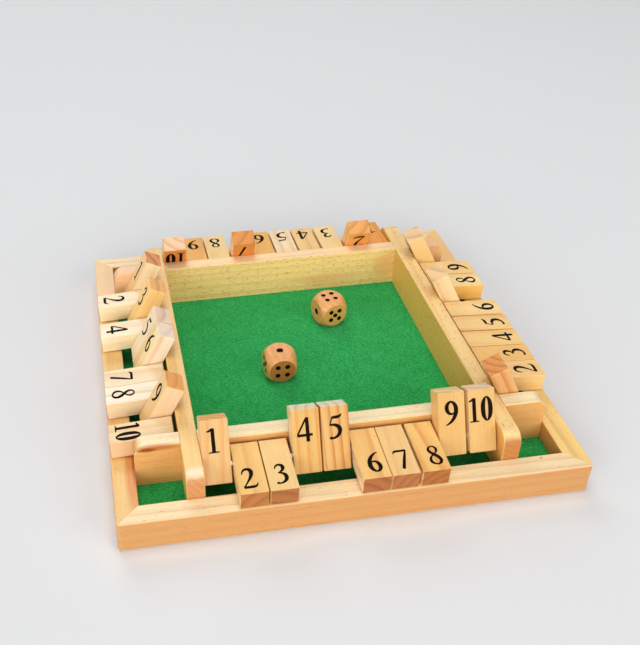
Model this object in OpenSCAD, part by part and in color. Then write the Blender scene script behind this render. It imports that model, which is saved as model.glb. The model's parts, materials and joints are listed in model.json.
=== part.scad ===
// Four-player shut-the-box board. A mitred frame holds a felted base, four cross-lapped walls
// leave a square pit for the dice, and ten tiles turn on a steel rod along each side.
// Millimetres, +Z up. The origin lies on the table under the middle of the frame.

/* [Frame] */
// Outside width and depth of the square frame
board_w = 291.5; // [270:0.5:330]
// Width of a rail, seen from above
rail_w = 14.5; // [12:0.5:18]
// Height of a rail
rail_h = 22.4; // [19:0.1:28]
// Radius of a rail's long top edges
rail_ease = 0.8; // [0.5:0.1:2]
// Radius of the frame's lower outer edge and of its four upright corners
foot_round = 3; // [1:0.1:4]

/* [Base and felt] */
// Thickness of the base board
base_t = 5; // [3:0.5:6]
// Height of the base board's underside above the table
base_lift = 3; // [2:0.5:5]
// How far the base board runs into the rails
groove_d = 5; // [3:0.5:7]
// Room round the base board in its groove
groove_fit = 0.2; // [0.1:0.05:0.4]
// Thickness of the felt
felt_t = 1.5; // [1:0.1:3]

/* [Walls] */
// Clear width between a rail and a wall
trough_w = 28.5; // [26:0.5:34]
// Thickness of a wall
wall_t = 11; // [9:0.5:14]
// Height of a wall above the felt
wall_h = 31; // [27:0.5:36]
// Radius of a wall's upper end corners
wall_round = 7.5; // [3:0.5:10]
// Width of the flat that eases a wall's edges
wall_ease = 0.4; // [0.3:0.1:1]
// Room between the two walls of a cross lap
lap_fit = 0.05; // [0.02:0.01:0.2]

/* [Rods] */
// Diameter of a rod
rod_d = 4; // [3:0.1:5]
// How far a rod's end runs into a wall
rod_seat = 6; // [3:0.5:7]
// Room round a rod's end in its blind hole
rod_fit = 0.05; // [0.02:0.01:0.1]
// Height of a rod above the middle of a tile that lies level on the rail
rod_lift = 2.1; // [1.6:0.1:3]

/* [Tiles] */
// Thickness of a tile
tile_t = 12.4; // [10:0.1:13]
// Distance from a tile's hole to its inner end
tile_tail = 10; // [8:0.5:11]
// Room between neighbouring tiles
tile_gap = 1.25; // [1:0.05:2.4]
// Distance from a lying tile's outer end to the frame's outer face
tile_inset = 0.8; // [0.5:0.1:2]
// Radius of a tile's corners, seen on its numbered face
tile_round = 0.8; // [0.5:0.1:2.5]
// Width of the flat that eases a tile's edges
tile_ease = 0.3; // [0.2:0.1:0.8]
// Radial room of a tile on its rod
tile_fit = 0.1; // [0.05:0.01:0.1]
// Room between a turning tile's inner end and the wall
tail_room = 0.4; // [0.3:0.1:1]
// Room that a resting tile or die keeps to what it rests on
rest_room = 0.3; // [0.2:0.05:0.4]

/* [Dice] */
// Width of a die
die_w = 21; // [16:0.5:22]
// Radius of the ball that rounds a die, as a share of its width
die_ball = 0.66; // [0.58:0.01:0.7]
// Radius of a pip
pip_r = 1.8; // [1:0.1:2]
// Radius of the pip on the face with only one
ace_r = 2.4; // [1:0.1:3]
// Depth of a pip
pip_deep = 0.5; // [0.3:0.1:0.8]
// Distance of an outer pip's centre from the middle lines of its face
pip_off = 3.4; // [2.6:0.1:3.6]

/* [Brads] */
// Diameter of a brad's shank
brad_d = 1.6; // [1.2:0.1:2]
// Diameter of a brad's head
brad_head_d = 3.2; // [2.6:0.1:4]
// Thickness of a brad's head
brad_head_t = 1; // [0.6:0.1:1.4]
// Length of a brad
brad_l = 20; // [14:1:24]
// Room round a brad in its hole
brad_fit = 0.05; // [0.02:0.01:0.1]

/* [Hidden] */
$fn = 64;
sides = ["front", "right", "back", "left"];
per_side = 10;

// the tiles that stand up, side by side in the order of the sides
standing = [[1, 4, 5, 9, 10], [1, 7, 10], [2, 7, 10], [1, 3, 5, 6, 9]];
// how far along its rod each tile has slid from an even spacing, within its play
tile_slide = [
    [-0.4, -0.5, -1.0, -0.4, -0.7, -0.7, -1.5, -1.1, -1.1, -0.1],
    [0, 0.4, -0.3, -0.6, -0.3, -0.1, 0, 0.2, 0.2, 0],
    [0, 0.8, 0.6, 1.2, 1.4, 1.5, 1.6, 1.4, 1.1, 0.4],
    [0, -0.5, -0.2, 0, 0.1, -0.1, -0.2, -1.1, -0.7, -0.9]
];

// levels and distances from the board's middle
inner_w = board_w - 2 * rail_w;
wall_out = inner_w / 2 - trough_w;
wall_in = wall_out - wall_t;
wall_mid = wall_out - wall_t / 2;
base_top = base_lift + base_t;
felt_top = base_top + felt_t;
wall_top = felt_top + wall_h;

// a tile's inner corner swings past the wall with tail_room to spare
tail_reach = max(
    norm([tile_tail - tile_ease, tile_t / 2]),
    norm([tile_tail, tile_t / 2 - tile_ease])
);
rod_out = tail_reach + tail_room;
rod_y = wall_out + rod_out;
rod_z = rail_h + tile_t / 2 + rod_lift;
pitch = 2 * wall_in / per_side;
tile_w = pitch - tile_gap;
tile_l = board_w / 2 - tile_inset - rod_y + tile_tail;

// lying, the outer end of the tile's underside comes down on the rail
seat_s = tile_l - tile_tail - tile_ease;
lie_angle = asin((rod_lift + tile_t / 2 - rest_room) / norm([seat_s, tile_t / 2]))
    - atan2(tile_t / 2, seat_s);
// standing, the tile leans on the eased outer edge of the wall
lean_rise = wall_top - wall_ease - rod_z;
lean_angle = 180 - asin((tile_t / 2 + rest_room) / norm([rod_out, lean_rise]))
    - atan2(lean_rise, rod_out);

pine = "#f3c88b";
pine_rail = "#efb878";
steel = "#c9ccd0";
cut = 1; // how far a cutting shape runs past the face it cuts

// pips on a die's face, in units of pip_off
spots = [
    [[0, 0]],
    [[-1, 1], [1, -1]],
    [[-1, 1], [0, 0], [1, -1]],
    [[-1, -1], [-1, 1], [1, -1], [1, 1]],
    [[-1, -1], [-1, 1], [0, 0], [1, -1], [1, 1]],
    [[-1, -1], [-1, 0], [-1, 1], [1, -1], [1, 0], [1, 1]]
];
// which way each face of a die looks: top, bottom, front, back, left, right
face_turn = [[0, 0, 0], [180, 0, 0], [90, 0, 0], [-90, 0, 0], [0, -90, 0], [0, 90, 0]];
die_faces = [[1, 6, 4, 3, 5, 2], [4, 3, 5, 2, 1, 6]];
die_at = [[-22.6, -10.4], [27.7, 48.4]];
die_yaw = [1.5, 13.8];

// where brads come up into a wall, along its length
brad_at = [-1, -0.4, 0.4, 1] * (inner_w / 2 - trough_w / 2);

function stands(side, number) = len(search(number, standing[side])) > 0;

// corner points of a rectangle about the origin with its corners cut off by e
function eased_rect(a, b, e) = [
    [a / 2 - e, -b / 2], [a / 2, -b / 2 + e], [a / 2, b / 2 - e], [a / 2 - e, b / 2],
    [e - a / 2, b / 2], [-a / 2, b / 2 - e], [-a / 2, e - b / 2], [e - a / 2, -b / 2]
];

// points of an arc round c, from angle a0 to a1
function arc(c, r, a0, a1, steps = 5) = [
    for (i = [0:steps]) let (a = a0 + (a1 - a0) * i / steps) c + r * [cos(a), sin(a)]
];

module at_side(side) {
    rotate([0, 0, 90 * side]) children();
}

module round_square(w, h, r) {
    linear_extrude(h) polygon(concat(
        arc([w / 2 - r, w / 2 - r], r, 0, 90),
        arc([r - w / 2, w / 2 - r], r, 90, 180),
        arc([r - w / 2, r - w / 2], r, 180, 270),
        arc([w / 2 - r, r - w / 2], r, 270, 360)
    ));
}

// a rail's cross-section: outer face at x = 0, the groove for the base board in the inner face
module rail_section() {
    difference() {
        polygon(concat(
            [[rail_w, 0]],
            arc([rail_w - rail_ease, rail_h - rail_ease], rail_ease, 0, 90),
            arc([rail_ease, rail_h - rail_ease], rail_ease, 90, 180),
            arc([foot_round, foot_round], foot_round, 180, 270)
        ));
        translate([rail_w - groove_d, base_lift]) square([groove_d + cut, base_t + groove_fit]);
    }
}

// one rail of the frame, mitred at both ends
module rail(side) {
    color(pine_rail) at_side(side) intersection() {
        translate([-board_w / 2, -board_w / 2, 0]) rotate([90, 0, 90])
            linear_extrude(board_w) rail_section();
        linear_extrude(rail_h) polygon([[0, 0], [-board_w, -board_w], [board_w, -board_w]]);
        round_square(board_w, rail_h, foot_round);
    }
}

// the holes that brads leave on their way up through the base, the felt and the walls
module brad_holes(r, z0, z1) {
    for (side = [0:3], x = brad_at)
        at_side(side) translate([x, -wall_mid, z0]) cylinder(r = r, h = z1 - z0, $fn = 24);
}

module base_board() {
    w = inner_w + 2 * (groove_d - groove_fit);
    color("#d9b27c") difference() {
        translate([-w / 2, -w / 2, base_lift]) cube([w, w, base_t]);
        brad_holes(brad_d / 2 + brad_fit, base_lift - cut, base_top + cut);
        brad_holes(brad_head_d / 2 + brad_fit, base_lift - cut, base_lift + brad_head_t);
    }
}

module felt_sheet() {
    color("#2a9a4a") difference() {
        translate([-inner_w / 2, -inner_w / 2, base_top]) cube([inner_w, inner_w, felt_t]);
        brad_holes(brad_d / 2 + brad_fit, base_top - cut, felt_top + cut);
    }
}

module base_brads() {
    color(steel) for (side = [0:3], x = brad_at)
        at_side(side) translate([x, -wall_mid, base_lift]) {
            cylinder(d = brad_head_d, h = brad_head_t, $fn = 24);
            cylinder(d = brad_d, h = brad_l, $fn = 24);
        }
}

// a wall's bar along X, with round upper corners and eased edges, standing on z = 0
module wall_bar() {
    e = wall_ease;
    r = wall_round;
    translate([r - inner_w / 2, 0, 0]) rotate([90, 0, 90]) linear_extrude(inner_w - 2 * r)
        polygon([
            [-wall_t / 2, 0], [wall_t / 2, 0], [wall_t / 2, wall_h - e],
            [wall_t / 2 - e, wall_h], [e - wall_t / 2, wall_h], [-wall_t / 2, wall_h - e]
        ]);
    linear_extrude(wall_h - r) polygon(eased_rect(inner_w, wall_t, e));
    for (end = [-1, 1])
        translate([end * (inner_w / 2 - r), 0, wall_h - r]) rotate([90, 0, 0]) rotate_extrude()
            polygon([
                [0, -wall_t / 2], [r - e, -wall_t / 2], [r, e - wall_t / 2],
                [r, wall_t / 2 - e], [r - e, wall_t / 2], [0, wall_t / 2]
            ]);
}

// One wall. Front and back walls are notched from above, left and right walls from below,
// and each carries the ends of the two rods that run towards it.
module wall(side) {
    under = side % 2 == 0;
    slot_w = wall_t + 2 * lap_fit;
    slot_z = under ? wall_h / 2 - lap_fit : -cut;
    color(pine) at_side(side) difference() {
        translate([0, -wall_mid, felt_top]) wall_bar();
        for (end = [-1, 1]) {
            translate([end * wall_mid - slot_w / 2, -wall_out - cut, felt_top + slot_z])
                cube([slot_w, wall_t + 2 * cut, wall_h / 2 + cut + lap_fit]);
            translate([end * rod_y, -wall_in - cut - rod_seat, rod_z]) rotate([-90, 0, 0])
                cylinder(r = rod_d / 2 + rod_fit, h = rod_seat + 2 * cut, $fn = 48);
        }
        for (x = brad_at)
            translate([x, -wall_mid, felt_top - cut])
                cylinder(r = brad_d / 2 + brad_fit, h = base_lift + brad_l - felt_top + cut, $fn = 24);
    }
}

module rod(side) {
    l = 2 * (wall_in + rod_seat);
    color(steel) at_side(side) translate([-l / 2, -rod_y, rod_z]) rotate([0, 90, 0])
        cylinder(d = rod_d, h = l, $fn = 48);
}

// a tile lying outwards along -Y, with its rod hole on the X axis
module tile_blank() {
    mid = tile_tail - tile_l / 2;
    difference() {
        translate([0, mid, 0]) intersection() {
            rotate([90, 0, 0]) linear_extrude(tile_l, center = true)
                polygon(eased_rect(tile_w, tile_t, tile_ease));
            rotate([90, 0, 90]) linear_extrude(tile_w, center = true)
                polygon(eased_rect(tile_l, tile_t, tile_ease));
            linear_extrude(tile_t, center = true) polygon(concat(
                arc([tile_w / 2, tile_l / 2] - [1, 1] * tile_round, tile_round, 0, 90, 3),
                arc([-tile_w / 2, tile_l / 2] + [1, -1] * tile_round, tile_round, 90, 180, 3),
                arc([-tile_w / 2, -tile_l / 2] + [1, 1] * tile_round, tile_round, 180, 270, 3),
                arc([tile_w / 2, -tile_l / 2] + [-1, 1] * tile_round, tile_round, 270, 360, 3)
            ));
        }
        rotate([0, 90, 0])
            cylinder(r = rod_d / 2 + tile_fit, h = tile_w + 2 * cut, center = true, $fn = 48);
    }
}

module tile(side, number) {
    lift = stands(side, number) ? lean_angle : -lie_angle;
    x = (number - (per_side + 1) / 2) * pitch + tile_slide[side][number - 1];
    color(pine) at_side(side) translate([x, -rod_y, rod_z]) rotate([-lift, 0, 0]) tile_blank();
}

// a cube rounded by a ball, with a dimple for each pip
module die(which) {
    color("#dfa070") translate([each die_at[which], felt_top + rest_room + die_w / 2])
        rotate([0, 0, die_yaw[which]]) difference() {
            intersection() {
                cube(die_w, center = true);
                sphere(r = die_ball * die_w);
            }
            for (f = [0:5]) {
                count = die_faces[which][f];
                r = count == 1 ? ace_r : pip_r;
                ball = (r * r + pip_deep * pip_deep) / (2 * pip_deep);
                for (p = spots[count - 1])
                    rotate(face_turn[f])
                        translate([each p * pip_off, die_w / 2 + ball - pip_deep])
                            sphere(r = ball, $fn = 32);
            }
        }
}

for (s = [0:3]) {
    rail(s);
    wall(s);
    rod(s);
    for (n = [1:per_side])
        tile(s, n);
}
base_board();
felt_sheet();
base_brads();
die(0);  // die_1
die(1);  // die_2
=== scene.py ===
import json
import math

import bpy
import numpy as np
from mathutils import Euler, Matrix, Vector


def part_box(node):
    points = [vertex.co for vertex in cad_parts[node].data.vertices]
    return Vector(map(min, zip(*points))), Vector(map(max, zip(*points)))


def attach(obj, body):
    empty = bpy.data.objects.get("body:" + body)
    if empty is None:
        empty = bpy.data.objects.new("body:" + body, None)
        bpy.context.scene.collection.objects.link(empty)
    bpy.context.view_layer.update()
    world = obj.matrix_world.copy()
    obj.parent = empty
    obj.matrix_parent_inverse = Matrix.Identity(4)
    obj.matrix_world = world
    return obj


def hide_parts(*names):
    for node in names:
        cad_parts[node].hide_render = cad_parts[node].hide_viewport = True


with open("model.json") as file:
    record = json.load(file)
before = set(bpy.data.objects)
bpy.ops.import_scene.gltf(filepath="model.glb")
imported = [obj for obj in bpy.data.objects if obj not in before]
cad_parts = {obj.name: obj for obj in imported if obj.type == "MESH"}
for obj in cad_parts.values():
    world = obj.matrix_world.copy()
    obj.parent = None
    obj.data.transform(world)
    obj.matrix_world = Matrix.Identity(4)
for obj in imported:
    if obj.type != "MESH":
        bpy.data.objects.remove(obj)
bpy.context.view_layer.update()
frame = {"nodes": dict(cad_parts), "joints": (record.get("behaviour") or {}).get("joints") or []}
nodes = frame["nodes"]
mm = 0.001
sides = ["front", "right", "back", "left"]
rng = np.random.default_rng(29)
print("frame loaded:", len(nodes), "nodes")


# sRGB hex to linear: c / 12.92 below 0.04045, else ((c + 0.055) / 1.055) ^ 2.4
def linearColour(hexCode):
    c = np.array([int(hexCode[i:i + 2], 16) for i in (1, 3, 5)]) / 255
    c = np.where(c < 0.04045, c / 12.92, ((c + 0.055) / 1.055) ** 2.4)
    return (*[float(v) for v in c], 1.0)


# adds one node: settings are its properties (stops fill a ramp), inputs are numbers or links.
# Sockets go by name or number. Mix: share 0, colours 6 and 7, result 2. Mapping: vector 0, place 1,
# turn 2, scale 3. MapRange: value 0, from 1 and 2, to 3 and 4. MULTIPLY_ADD: 0 times 1 plus 2
def addNode(tree, kind, settings=None, inputs=None):
    node = tree.nodes.new(kind)
    for key, value in (settings or {}).items():
        if key != "stops":
            setattr(node, key, value)
            continue
        ramp = node.color_ramp.elements
        while len(ramp) < len(value):
            ramp.new(0.5)
        for element, (position, colour) in zip(ramp, value):
            element.position = position
            grey = not isinstance(colour, str)
            element.color = (colour, colour, colour, 1) if grey else linearColour(colour)
    for key, value in (inputs or {}).items():
        if isinstance(value, bpy.types.NodeSocket):
            tree.links.new(value, node.inputs[key])
        else:
            node.inputs[key].default_value = value
    return node


def newMaterial(name):
    material = bpy.data.materials.new(name)
    material.use_nodes = True
    material.node_tree.nodes.clear()
    return material, material.node_tree


def giveMaterial(piece, material):
    piece.data.materials.clear()
    piece.data.materials.append(material)


# rows of points (a grid of rows x columns) to one closed skin: columns always wrap,
# rows wrap when closed, and otherwise a flat cap closes each end
def gridFaces(rows, columns, closed):
    last = rows if closed else rows - 1
    i, j = np.meshgrid(np.arange(last), np.arange(columns), indexing="ij")
    nextRow, nextColumn = (i + 1) % rows, (j + 1) % columns
    quads = np.stack([i * columns + j, i * columns + nextColumn,
                      nextRow * columns + nextColumn, nextRow * columns + j], -1).reshape(-1, 4)
    faces = quads.tolist()
    if not closed:
        faces.append(list(range(columns))[::-1])
        faces.append(list(range((rows - 1) * columns, rows * columns)))
    return faces


# six times the signed volume under a skin of points p and faces f, summed over fan triangles
def signedVolume(points, faces):
    total = 0.0
    for size in {len(f) for f in faces}:
        corner = points[np.array([f for f in faces if len(f) == size])]
        for k in range(1, size - 1):
            total += np.einsum("ij,ij->", corner[:, 0], np.cross(corner[:, k], corner[:, k + 1]))
    return total


# joins skins [(points, faces), ...] into one mesh object, each turned to point outwards
def makePiece(name, skins, material, body, smooth=True):
    points, faces, start = [], [], 0
    for skinPoints, skinFaces in skins:
        turned = signedVolume(skinPoints, skinFaces) < 0
        faces += [[start + v for v in (f[::-1] if turned else f)] for f in skinFaces]
        points.append(skinPoints)
        start += len(skinPoints)
    mesh = bpy.data.meshes.new(name)
    mesh.from_pydata(np.concatenate(points).tolist(), [], faces)
    mesh.polygons.foreach_set("use_smooth", np.full(len(faces), smooth))
    mesh.update()
    piece = bpy.data.objects.new(name, mesh)
    bpy.context.scene.collection.objects.link(piece)
    giveMaterial(piece, material)
    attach(piece, body)
    return piece


# metres, and unit vectors that point right, down and into the view
cameraSet = {
    "place": (-0.134578, -0.516912, 0.428665),
    "right": (0.98727375, -0.15873438, -0.00969201),
    "down": (-0.1007695, -0.57727612, -0.81030721),
    "forward": (0.12302865, 0.8009717, -0.58592515),
    "focalPixels": 934.715,
    "centrePixels": (231.06, 323.59),
    "imagePixels": (640, 645),
    "sensor": 36.0,
}


def makeCamera(c):
    data = bpy.data.cameras.new("camera")
    data.sensor_fit = "HORIZONTAL"
    data.sensor_width = c["sensor"]
    width, height = c["imagePixels"]
    data.lens = c["focalPixels"] * c["sensor"] / width
    data.shift_x = (width / 2 - c["centrePixels"][0]) / width
    data.shift_y = (c["centrePixels"][1] - height / 2) / width
    data.clip_start = 0.01
    data.clip_end = 50
    camera = bpy.data.objects.new("camera", data)
    bpy.context.scene.collection.objects.link(camera)
    turn = Matrix([c["right"], -Vector(c["down"]), -Vector(c["forward"])]).transposed()
    camera.matrix_world = Matrix.Translation(c["place"]) @ turn.to_4x4()
    bpy.context.scene.camera = camera


studioSet = {
    "paper": "#E4E5E6",
    "reach": 4,              # metres from the middle of the floor to its edges
    "fill": 0.06,            # even light from all round
}


def makeFloor():
    material, tree = newMaterial("pale_matt_paper")  # seamless studio paper: no gloss, no pattern
    shader = addNode(tree, "ShaderNodeBsdfPrincipled", None, {
        "Base Color": linearColour(studioSet["paper"]), "Roughness": 0.95,
        "Specular IOR Level": 0.1})
    addNode(tree, "ShaderNodeOutputMaterial", None, {"Surface": shader.outputs[0]})
    mesh = bpy.data.meshes.new("floor")
    r = studioSet["reach"]
    mesh.from_pydata([(-r, -r, 0), (r, -r, 0), (r, r, 0), (-r, r, 0)], [], [(0, 1, 2, 3)])
    floor = bpy.data.objects.new("floor", mesh)
    bpy.context.scene.collection.objects.link(floor)
    giveMaterial(floor, material)


lampSet = [  # name, place in metres, side of the square in metres, watts, beam in degrees
    ("lamp_over", (0, 0.07, 4.00), 2.2, 61.00, 180),
    ("lamp_front", (-0.30, -3.35, 0.93), 1.7, 9.00, 90),
    ("lamp_left_front", (-2.52, -2.80, 1.37), 2.6, 21.42, 90),
    ("lamp_right_front", (2.33, -2.78, 1.69), 2.8, 19.26, 90),
    ("lamp_left", (-3.45, -0.30, 2.00), 2.0, 3.70, 90),
    ("lamp_behind", (-0.70, 3.00, 2.57), 2.4, 13.81, 90),
]


def makeLight():
    for name, place, size, power, beam in lampSet:
        data = bpy.data.lights.new(name, "AREA")
        data.shape = "SQUARE"
        data.size = size
        data.energy = power
        data.spread = math.radians(beam)  # a grid keeps the low lamps off the floor beside them
        lamp = bpy.data.objects.new(name, data)
        lamp.location = place
        toBoard = Vector((0, 0, 0)) - Vector(place)
        lamp.rotation_euler = toBoard.to_track_quat("-Z", "Y").to_euler()
        bpy.context.scene.collection.objects.link(lamp)
    world = bpy.data.worlds.new("studio")
    bpy.context.scene.world = world
    world.use_nodes = True
    tree = world.node_tree
    tree.nodes.clear()
    # the view, reflections and anything clear show the paper's colour, and other rays meet the fill
    ray = addNode(tree, "ShaderNodeLightPath")
    seen = addNode(tree, "ShaderNodeMath", {"operation": "MAXIMUM"},
                   {0: ray.outputs["Is Camera Ray"], 1: ray.outputs["Is Glossy Ray"]})
    seen = addNode(tree, "ShaderNodeMath", {"operation": "MAXIMUM"},
                   {0: seen.outputs[0], 1: ray.outputs["Is Transmission Ray"]})
    shown = addNode(tree, "ShaderNodeBackground", None,
                    {0: linearColour(studioSet["paper"]), 1: 1.0})
    fill = addNode(tree, "ShaderNodeBackground", None, {0: (1, 1, 1, 1), 1: studioSet["fill"]})
    mixed = addNode(tree, "ShaderNodeMixShader", None,
                    {0: seen.outputs[0], 1: fill.outputs[0], 2: shown.outputs[0]})
    addNode(tree, "ShaderNodeOutputWorld", None, {0: mixed.outputs[0]})
    bpy.context.scene.view_settings.view_transform = "Standard"


makeCamera(cameraSet)
makeFloor()
makeLight()
print("camera, floor and light set")


# Fast-grown pine, planed, sanded and clear varnished: wide soft rings that run the length of
# each bar, orange summer wood, short brown resin dashes, darker end grain, a satin film
pineLook = {
    "ringGap": 7.0,          # mm from one year's ring to the next
    "pith": (22.0, 30.0),    # mm from the bar's middle line to the heart of the tree, across and down
    "slope": (2.0, 1.0),     # degrees between the bar and the tree's own axis
    "waver": 2.4,            # how far the rings stray, in radians of one ring
    "strength": 0.5,         # how much of the summer wood's colour shows
    "pale": "#F3C174",
    "spring": "#EDB25F",
    "summer": "#D58738",
    "end": "#CF8B55",
    "endBand": 0.30,         # how far summer wood darkens the end grain
    "dash": "#8E4F22",
    "dashAmount": 0.25,      # how much of the dashes' colour shows
    "dashCut": 0.70,         # lower brings more dashes
    "dashTop": 1.0,          # how much of them shows on the upper face
    "fibre": 0.07,           # how far fibres darken the wood, and lighten it half as far
    "top": ("#F7E5BA", 0),   # painted light: a paler colour for the upper and lower faces, and how much of it shows
    "side": ("#F3D3B0", 0),  # painted light and shade: the same for the two long sides
    "stains": [],            # resin streaks, knots and painted highlights: middle and half sizes in mm, colour, amount
    "sheen": (0.38, 0.50),   # roughness of the wood, from its smoothest to its roughest patch
    "film": 0.18,            # weight of the varnish's clear coat on the long faces
    "filmRoughness": 0.22,
    "relief": 0.04,          # mm, height of the bump of summer wood and fibres
    "patterns": {            # how often each comes to the metre, across, along and down the bar
        "blotch": (40, 12, 40),      # warm patches of 25 x 80 mm
        "fibre": (1600, 45, 1600),   # lines of 0.6 x 22 mm, coarser than real fibres, to show
        "dash": (1500, 260, 1500),   # 0.7 x 4 mm, coarser than the real 0.2 mm, to show
        "pore": (1800, 200, 1800),   # specks of 0.6 mm on the end grain
    },
}


# 0 to amount where a face looks along the bar's own axis: |normal . axis| stepped up from low to high
def faceMask(tree, where, turn, axis, amount, low=0.75, high=0.95):
    facing = addNode(tree, "ShaderNodeVectorMath", {"operation": "DOT_PRODUCT"},
                     {0: where.outputs["Normal"], 1: Euler(turn).to_matrix() @ Vector(axis)})
    facing = addNode(tree, "ShaderNodeMath", {"operation": "ABSOLUTE"}, {0: facing.outputs["Value"]})
    return addNode(tree, "ShaderNodeMapRange", None,
                   {0: facing.outputs[0], 1: low, 2: high, 3: 0.0, 4: amount}).outputs[0]


# place (m) and turn (radians) carry the bar's own frame, length along Y, to where the bar lies
def makePine(name, place, turn, look):
    material, tree = newMaterial(name)
    look = {**pineLook, **look}
    where = addNode(tree, "ShaderNodeTexCoord")
    own = addNode(tree, "ShaderNodeMapping", {"vector_type": "TEXTURE"},
                  {0: where.outputs["Object"], 1: place, 2: turn})
    own = own.outputs[0]
    shift = rng.uniform(-0.5, 0.5, 3)
    pith = Vector((look["pith"][0] * mm, shift[0], look["pith"][1] * mm))
    slope = (math.radians(look["slope"][0]), 0, math.radians(look["slope"][1]))
    heart = addNode(tree, "ShaderNodeMapping", None, {0: own, 1: pith, 2: slope})
    slow = addNode(tree, "ShaderNodeMapping", None, {0: heart.outputs[0], 3: (1, 0.3, 1)})
    rings = addNode(tree, "ShaderNodeTexWave",
                    {"wave_type": "RINGS", "rings_direction": "Y", "wave_profile": "SAW"},
                    {"Vector": slow.outputs[0], "Scale": 2 * math.pi / (20 * look["ringGap"] * mm),
                     "Distortion": look["waver"], "Detail": 2.0, "Detail Scale": 0.22,
                     "Detail Roughness": 0.45})
    summer = addNode(tree, "ShaderNodeValToRGB",
                     {"stops": [(0.0, 0.35), (0.08, 0.05), (0.45, 0.08), (0.72, 0.5),
                                (0.90, 1.0), (1.0, 0.7)]},
                     {0: rings.outputs["Fac"]})
    # the year's colour is mixed by how warm that part of the bar is
    blotchAt = addNode(tree, "ShaderNodeMapping", None,
                       {0: own, 1: tuple(shift * 7), 3: look["patterns"]["blotch"]})
    blotch = addNode(tree, "ShaderNodeTexNoise", None,
                     {"Vector": blotchAt.outputs[0], "Scale": 1.0, "Detail": 2.0, "Roughness": 0.5})
    ground = addNode(tree, "ShaderNodeMix", {"data_type": "RGBA"},
                     {0: blotch.outputs["Fac"], 6: linearColour(look["pale"]),
                      7: linearColour(look["spring"])})
    # painted light: upper faces and long sides get colours of their own, paler or darker as light
    # falls on them
    for axis, (shade, amount) in (((0, 0, 1), look["top"]), ((1, 0, 0), look["side"])):
        if amount > 0:
            ground = addNode(tree, "ShaderNodeMix", {"data_type": "RGBA"},
                             {0: faceMask(tree, where, turn, axis, amount), 6: ground.outputs[2],
                              7: linearColour(shade)})
    band = addNode(tree, "ShaderNodeMath", {"operation": "MULTIPLY"},
                   {0: summer.outputs[0], 1: look["strength"]})
    bandSlow = addNode(tree, "ShaderNodeMath", {"operation": "MULTIPLY_ADD"},
                       {0: blotch.outputs["Fac"], 1: 1.2, 2: 0.2})
    band = addNode(tree, "ShaderNodeMath", {"operation": "MULTIPLY", "use_clamp": True},
                   {0: band.outputs[0], 1: bandSlow.outputs[0]})
    colour = addNode(tree, "ShaderNodeMix", {"data_type": "RGBA"},
                     {0: band.outputs[0], 6: ground.outputs[2], 7: linearColour(look["summer"])})
    fibreAt = addNode(tree, "ShaderNodeMapping", None,
                      {0: heart.outputs[0], 3: look["patterns"]["fibre"]})
    fibre = addNode(tree, "ShaderNodeTexNoise", None,
                    {"Vector": fibreAt.outputs[0], "Scale": 1.0, "Detail": 2.0, "Roughness": 0.6})
    fibreTone = addNode(tree, "ShaderNodeMapRange", None,
                        {0: fibre.outputs["Fac"], 1: 0.3, 2: 0.7,
                         3: 1 - look["fibre"], 4: 1 + look["fibre"] * 0.5})
    colour = addNode(tree, "ShaderNodeMix", {"data_type": "RGBA", "blend_type": "MULTIPLY"},
                     {0: 1.0, 6: colour.outputs[2], 7: fibreTone.outputs[0]})
    dashAt = addNode(tree, "ShaderNodeMapping", None,
                     {0: heart.outputs[0], 3: look["patterns"]["dash"]})
    dash = addNode(tree, "ShaderNodeTexNoise", None,
                   {"Vector": dashAt.outputs[0], "Scale": 1.0, "Detail": 1.0, "Roughness": 0.4})
    dashMask = addNode(tree, "ShaderNodeMapRange", None,
                       {0: dash.outputs["Fac"], 1: look["dashCut"], 2: look["dashCut"] + 0.06,
                        3: 0.0, 4: look["dashAmount"]})
    if look["dashTop"] < 1:
        dashMask = addNode(tree, "ShaderNodeMath", {"operation": "MULTIPLY_ADD"},
                           {0: dashMask.outputs[0], 2: dashMask.outputs[0],
                            1: faceMask(tree, where, turn, (0, 0, 1), look["dashTop"] - 1)})
    colour = addNode(tree, "ShaderNodeMix", {"data_type": "RGBA"},
                     {0: dashMask.outputs[0], 6: colour.outputs[2], 7: linearColour(look["dash"])})
    # end grain faces along the bar's length: cut cells drink the varnish and go darker. A pale end
    # colour, as on the standing tiles, is painted light
    endMask = faceMask(tree, where, turn, (0, 1, 0), 1.0, 0.6, 0.9)
    poreAt = addNode(tree, "ShaderNodeMapping", None, {0: own, 3: look["patterns"]["pore"]})
    pore = addNode(tree, "ShaderNodeTexNoise", None,
                   {"Vector": poreAt.outputs[0], "Scale": 1.0, "Detail": 2.0, "Roughness": 0.6})
    endBand = addNode(tree, "ShaderNodeMapRange", None,
                      {0: summer.outputs[0], 3: 1.04, 4: 1.04 - look["endBand"]})
    endPore = addNode(tree, "ShaderNodeMapRange", None,
                      {0: pore.outputs["Fac"], 1: 0.3, 2: 0.7, 3: 0.78, 4: 1.12})
    endTone = addNode(tree, "ShaderNodeMath", {"operation": "MULTIPLY"},
                      {0: endBand.outputs[0], 1: endPore.outputs[0]})
    endColour = addNode(tree, "ShaderNodeMix", {"data_type": "RGBA", "blend_type": "MULTIPLY"},
                        {0: 1.0, 6: linearColour(look["end"]), 7: endTone.outputs[0]})
    colour = addNode(tree, "ShaderNodeMix", {"data_type": "RGBA"},
                     {0: endMask, 6: colour.outputs[2], 7: endColour.outputs[2]})
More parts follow.
